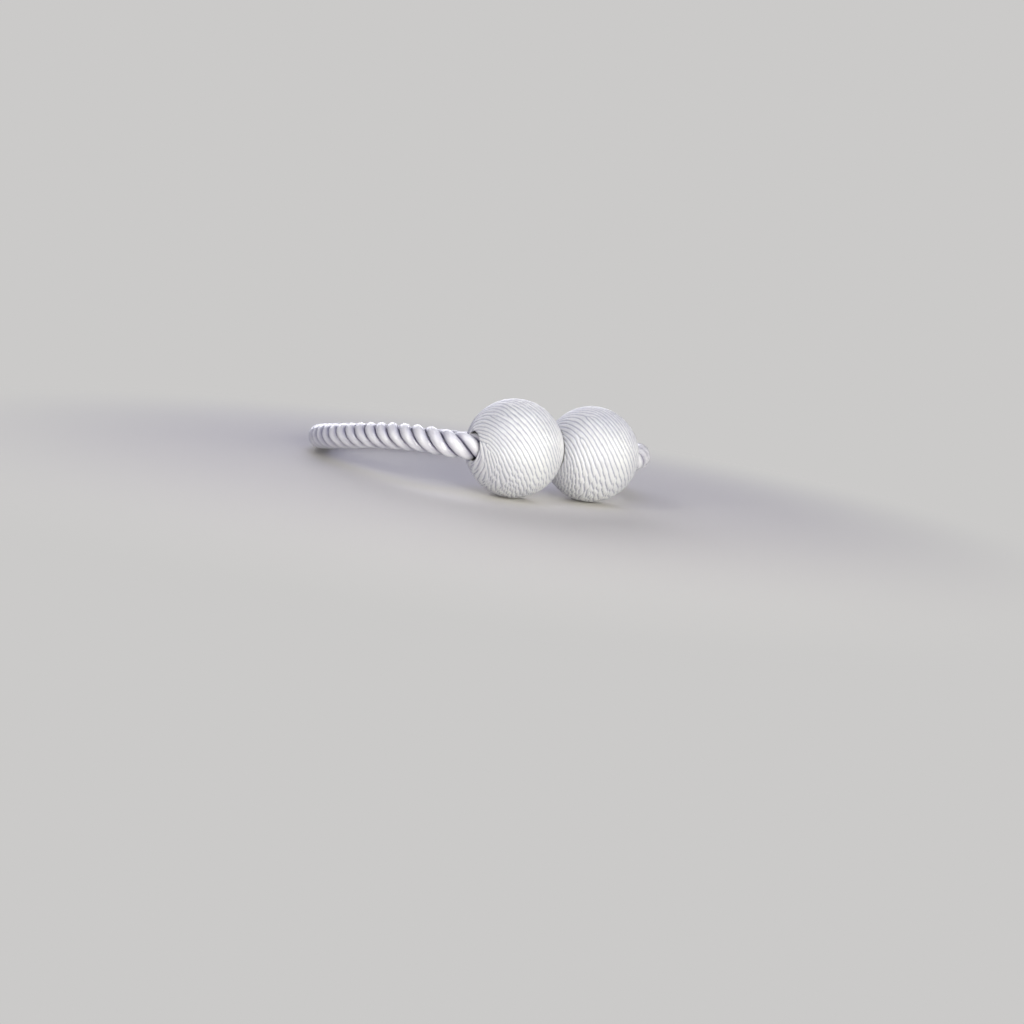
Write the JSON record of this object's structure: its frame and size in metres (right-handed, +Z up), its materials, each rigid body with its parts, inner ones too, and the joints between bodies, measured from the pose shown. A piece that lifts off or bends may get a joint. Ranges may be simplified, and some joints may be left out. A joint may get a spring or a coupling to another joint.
{
  "type": "curtain holdback",
  "caption": "Soft twisted rope loop closed by cord-wound balls that clasp each other with magnets, to gather and hold back a curtain.",
  "frame": {"origin": "on the surface that the part lies on, below the point where the two magnets meet", "axes": "+X from the left ball to the right ball along the line of their centres, +Y from the balls towards the back of the rope loop, +Z up from the surface"},
  "size_m": [0.1325, 0.1387, 0.036],
  "materials": {
    "rope_satin": "satin",
    "winding_satin": "satin",
    "core_plastic": "matte",
    "magnet_plating": "polished",
    "binding_tape": "satin"
  },
  "bodies": {
    "root": {"rope": "rope_satin", "left_thread_cover": "winding_satin", "right_thread_cover": "winding_satin", "left_rope_half_shell": "core_plastic", "right_rope_half_shell": "core_plastic", "left_magnet_half_shell": "core_plastic", "right_magnet_half_shell": "core_plastic", "left_magnet": "magnet_plating", "right_magnet": "magnet_plating", "left_rope_end_binding": "binding_tape", "right_rope_end_binding": "binding_tape"}
  },
  "joints": []
}
